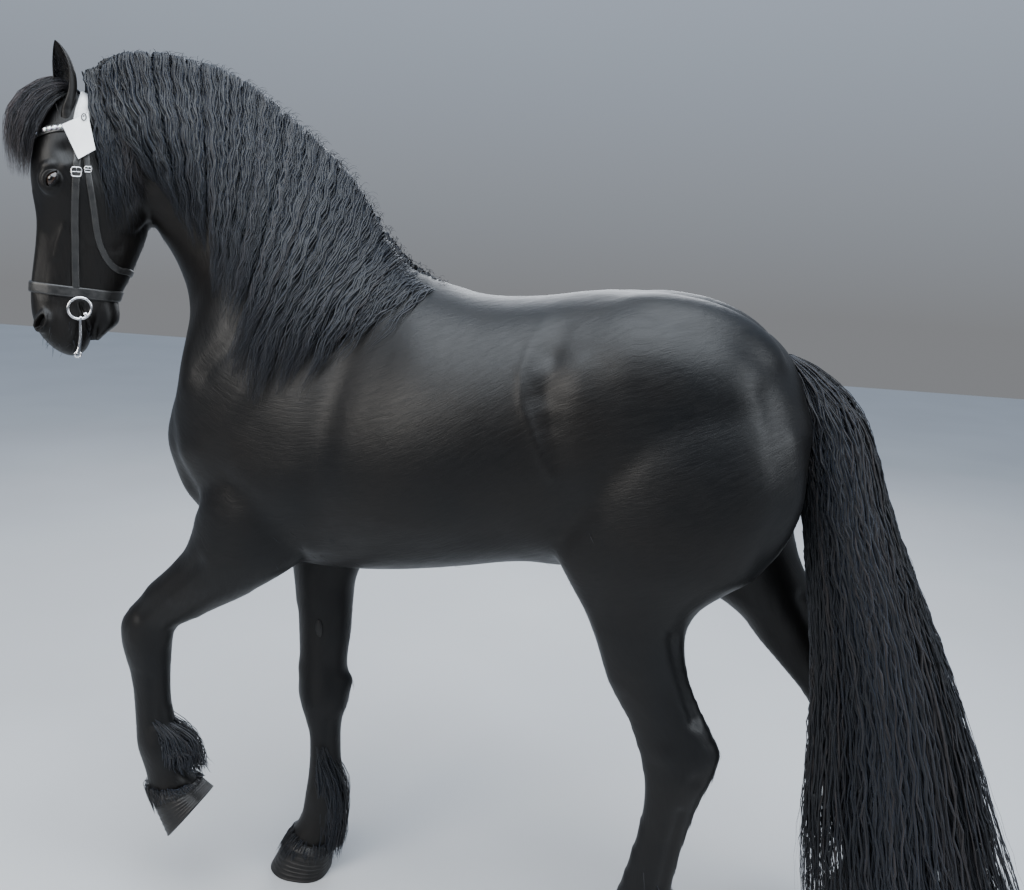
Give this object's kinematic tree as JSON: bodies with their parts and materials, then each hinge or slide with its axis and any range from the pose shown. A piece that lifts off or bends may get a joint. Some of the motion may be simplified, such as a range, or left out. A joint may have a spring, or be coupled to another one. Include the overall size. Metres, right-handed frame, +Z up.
{
  "type": "friesian horse",
  "caption": "Life-size still model of a black Friesian stallion standing with its near foreleg raised, in a show bridle with a blank tag.",
  "frame": {"origin": "on the floor, under the middle of the whole horse's box", "axes": "+X towards the chest, +Y towards the horse's left side, +Z up"},
  "size_m": [2.4564, 0.65, 2.122],
  "materials": {
    "coat": "short glossy black horse coat over solid flesh",
    "hair": "long wavy black horse hair",
    "hoof": "dark horn, satin",
    "eye": "wet dark brown eye",
    "strap": "polished black strap leather",
    "white_strap": "white strap leather",
    "steel": "polished steel",
    "card": "blank white card"
  },
  "bodies": {
    "root": {"bit_left": "steel", "bit_right": "steel", "bridle_browband": "strap", "bridle_cheek_left": "strap", "bridle_cheek_right": "strap", "bridle_headpiece": "white_strap", "bridle_noseband": "strap", "bridle_throatlatch": "strap", "ear_left": "coat", "ear_right": "coat", "eye_left": "eye", "eye_right": "eye", "feather_fore_left": "hair", "feather_fore_right": "hair", "feather_hind_left": "hair", "feather_hind_right": "hair", "foreleg_left": "coat", "foreleg_right": "coat", "forelock": "hair", "head": "coat", "hindleg_left": "coat", "hindleg_right": "coat", "hoof_fore_left": "hoof", "hoof_fore_right": "hoof", "hoof_hind_left": "hoof", "hoof_hind_right": "hoof", "mane": "hair", "neck": "coat", "number_tag": "card", "tail": "hair", "torso": "coat"}
  },
  "joints": []
}
